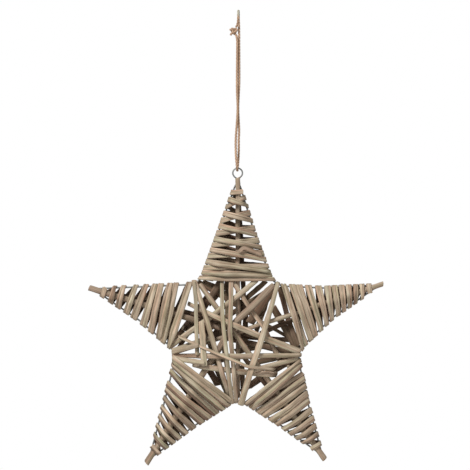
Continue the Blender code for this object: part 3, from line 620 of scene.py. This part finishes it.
def lay_twine(name, points, diameter, material):
    """Three plies laid round each other along points, as one closed tube."""
    form = bmesh.new()
    outer = diameter / 2
    ply = outer * PLY_SHARE
    reach = outer - ply
    side, s, rings, grain, groove = Vector((1, 0, 0)), 0.0, [], [], []
    for k, point in enumerate(points):
        way = (points[min(k + 1, len(points) - 1)] - points[max(k - 1, 0)]).normalized()
        side = (side - way * side.dot(way)).normalized()
        up = way.cross(side)
        s += (point - points[k - 1]).length if k else 0.0
        ring = []
        for j in range(TWINE_SIDES):
            angle = 2 * math.pi * j / TWINE_SIDES
            turn = (angle - 2 * math.pi * s / PLY_LAY) % (2 * math.pi / 3) - math.pi / 3
            radius = reach * math.cos(turn) + math.sqrt(max(0.0, ply**2 - (reach * math.sin(turn)) ** 2))
            radius *= 1 + TUFT_DEPTH * noise.noise(Vector((angle, s / TUFT_LENGTH, 3)))
            ring.append(form.verts.new(point + (side * math.cos(angle) + up * math.sin(angle)) * radius))
            twist = angle + 2 * math.pi * s / FIBRE_LAY
            grain.append((radius * math.cos(twist), radius * math.sin(twist), s))
            # The groove value is 1 in the grooves between the plies, where the material paints shade.
            groove.append(abs(turn) / (math.pi / 3))
        rings.append(ring)
    for near, far in zip(rings[:-1], rings[1:]):
        for j in range(TWINE_SIDES):
            form.faces.new((near[j - 1], near[j], far[j], far[j - 1]))
    form.faces.new(rings[0])
    form.faces.new(rings[-1])
    bmesh.ops.recalc_face_normals(form, faces=form.faces)
    mesh = bpy.data.meshes.new(name)
    form.to_mesh(mesh)
    form.free()
    for layer, kind, key, values in (
        ("grain", "FLOAT_VECTOR", "vector", np.array(grain).ravel()),
        ("groove", "FLOAT", "value", groove),
    ):
        mesh.attributes.new(layer, kind, "POINT").data.foreach_set(key, values)
    mesh.materials.append(material)
    mesh.shade_smooth()
    twine = bpy.data.objects.new(name, mesh)
    bpy.context.scene.collection.objects.link(twine)
    return twine


def jute_fibre():
    """Warm brown jute, greyer and paler towards the top of the loop. Its fibres run along the plies, with
    painted shade between them.
    """
    material = bpy.data.materials.new("twisted_jute")
    material.use_nodes = True
    tree = material.node_tree
    shader = tree.nodes["Principled BSDF"]
    grain = add_node(tree, "ShaderNodeAttribute", (-1300, 200), attribute_name="grain").outputs["Vector"]
    groove = add_node(tree, "ShaderNodeAttribute", (-1300, -100), attribute_name="groove").outputs["Fac"]
    fibres = add_streaks(tree, (-1100, 300), grain, across=2600.0, along=260.0)
    patches = add_streaks(tree, (-1100, 100), grain, across=300.0, along=60.0)
    colours = add_ramp(tree, (-850, 300), [(0.3, (0.28, 0.17, 0.105)), (0.7, (0.63, 0.44, 0.30))])
    faded = add_ramp(tree, (-850, 100), [(0.35, (0.85, 0.82, 0.85)), (0.65, (1.1, 1.1, 1.08))])
    # Painted shade in the grooves between the plies.
    groove_shade = add_ramp(tree, (-850, -100), [(0.45, (1, 1, 1)), (1.0, (0.4, 0.34, 0.3))])
    tree.links.new(fibres, colours.inputs["Fac"])
    tree.links.new(patches, faded.inputs["Fac"])
    tree.links.new(groove, groove_shade.inputs["Fac"])
    # The twine turns greyer and paler towards the top of the loop, by height alone.
    height = add_node(tree, "ShaderNodeSeparateXYZ", (-1100, 600))
    place = add_node(tree, "ShaderNodeTexCoord", (-1300, 600))
    grey = add_ramp(tree, (-850, 800), [(0.3, (0.27, 0.255, 0.20)), (0.7, (0.56, 0.54, 0.44))])
    greyed = add_node(tree, "ShaderNodeMapRange", (-850, 550))
    greyed.inputs["From Min"].default_value = GREY_FROM_HEIGHT
    greyed.inputs["From Max"].default_value = GREY_TO_HEIGHT
    tree.links.new(place.outputs["Object"], height.inputs["Vector"])
    tree.links.new(height.outputs["Z"], greyed.inputs["Value"])
    tree.links.new(fibres, grey.inputs["Fac"])
    brown, pale = colours.outputs["Color"], grey.outputs["Color"]
    grey_towards_top = mixed(tree, (-600, 400), greyed.outputs["Result"], brown, pale)
    colour = mixed(tree, (-500, 200), 1.0, grey_towards_top, faded.outputs["Color"], "MULTIPLY")
    colour = mixed(tree, (-300, 200), 1.0, colour, groove_shade.outputs["Color"], "MULTIPLY")
    bump = add_node(tree, "ShaderNodeBump", (-300, -200), {"Strength": 0.7, "Distance": 0.2 * MM})
    rough = add_node(tree, "ShaderNodeMapRange", (-300, 0), {"To Min": 0.8, "To Max": 1.0})
    tree.links.new(fibres, bump.inputs["Height"])
    tree.links.new(fibres, rough.inputs["Value"])
    tree.links.new(colour, shader.inputs["Base Color"])
    tree.links.new(rough.outputs["Result"], shader.inputs["Roughness"])
    tree.links.new(bump.outputs["Normal"], shader.inputs["Normal"])
    shader.inputs["Specular IOR Level"].default_value = 0.15
    return material


jute = jute_fibre()
twine_line = smooth_curve([Vector(place) * MM for place in TWINE_ROUTE], TWINE_STEP)
twine = lay_twine("laid_jute_twine", twine_line, TWINE_DIAMETER, jute)
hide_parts("jute_hanging_twine")
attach(twine, "root")


# Knot. The twine's two ends are tied in an overhand knot, drawn tight, and cut off short to the left.
# The cut ends' routes are in millimetres.
KNOT_PLACE = Vector((-4.7, 0.0, -22.4)) * MM
KNOT_STRAND = 2.8 * MM
KNOT_REACH = 1.22 * MM
KNOT_DEPTH = 1.3
KNOT_STEPS = 72
KNOT_ENDS = (
    ((-6.0, -0.8, -21.2), (-8.2, -1.2, -21.0), (-10.0, -1.0, -21.6)),
    ((-5.8, 1.0, -23.6), (-7.6, 1.2, -25.2), (-8.9, 1.0, -27.6)),
)


def tie_knot():
    """A trefoil of twine that turns through itself, seen from the side."""
    points = []
    for k in range(KNOT_STEPS + 1):
        t = 2 * math.pi * k / KNOT_STEPS
        points.append(KNOT_PLACE + KNOT_REACH * Vector((
            math.sin(t) + 2 * math.sin(2 * t),
            -KNOT_DEPTH * math.sin(3 * t),
            math.cos(t) - 2 * math.cos(2 * t),
        )))
    strands = [lay_twine("tied_jute_knot", points, KNOT_STRAND, jute)]
    for route in KNOT_ENDS:
        line = smooth_curve([Vector(place) * MM for place in route], TWINE_STEP)
        strands.append(lay_twine("cut_end", line, KNOT_STRAND, jute))
    bpy.ops.object.select_all(action="DESELECT")
    for strand in strands:
        strand.select_set(True)
    bpy.context.view_layer.objects.active = strands[0]
    bpy.ops.object.join()
    return strands[0]


knot = tie_knot()
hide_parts("jute_knot")
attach(knot, "root")


# Studio. A lamp at the upper left and a softer one at the right, in a white surround, with a small pale
# floor under the star. The camera sees the surround brighter than it lights.
FLOOR_HEIGHT = -620 * MM
FLOOR_SIZE = 800 * MM
FLOOR_COLOUR = (0.8, 0.8, 0.79, 1)
SURROUND_LIGHT = 0.4
SURROUND_SEEN = 1.0
LAMP_AIM = (0, 0, -386 * MM)

bpy.ops.mesh.primitive_plane_add(size=FLOOR_SIZE, location=(0, 0, FLOOR_HEIGHT))
floor = bpy.context.object
floor.name = "studio_floor"
floor_material = bpy.data.materials.new("pale_floor")
floor_material.use_nodes = True
floor_shader = floor_material.node_tree.nodes["Principled BSDF"]
floor_shader.inputs["Base Color"].default_value = FLOOR_COLOUR
floor.data.materials.append(floor_material)

studio = bpy.data.worlds.new("white_studio")
studio.use_nodes = True
bpy.context.scene.world = studio
surround = studio.node_tree
lighting = surround.nodes["Background"]
lighting.inputs["Color"].default_value = (1, 1, 1, 1)
lighting.inputs["Strength"].default_value = SURROUND_LIGHT
seen = add_node(surround, "ShaderNodeBackground", (0, -200), {"Color": (1, 1, 1, 1)})
seen.inputs["Strength"].default_value = SURROUND_SEEN
rays = add_node(surround, "ShaderNodeLightPath", (-200, 200))
either = add_node(surround, "ShaderNodeMixShader", (250, 0))
surround.links.new(rays.outputs["Is Camera Ray"], either.inputs[0])
surround.links.new(lighting.outputs[0], either.inputs[1])
surround.links.new(seen.outputs[0], either.inputs[2])
surround.links.new(either.outputs[0], surround.nodes["World Output"].inputs["Surface"])


def hang_lamp(name, place, size, power):
    """A square soft lamp that looks at the star's middle."""
    lamp_data = bpy.data.lights.new(name, "AREA")
    lamp_data.size = size
    lamp_data.energy = power
    lamp = bpy.data.objects.new(name, lamp_data)
    lamp.location = place
    way = Vector(LAMP_AIM) - Vector(place)
    lamp.rotation_euler = way.to_track_quat("-Z", "Y").to_euler()
    bpy.context.scene.collection.objects.link(lamp)


hang_lamp("key_lamp", place=(-0.75, -1.2, 0.85), size=0.4, power=35)
hang_lamp("fill_lamp", place=(1.5, -1.8, 0.4), size=1.2, power=9)
bpy.context.scene.view_settings.view_transform = "Standard"
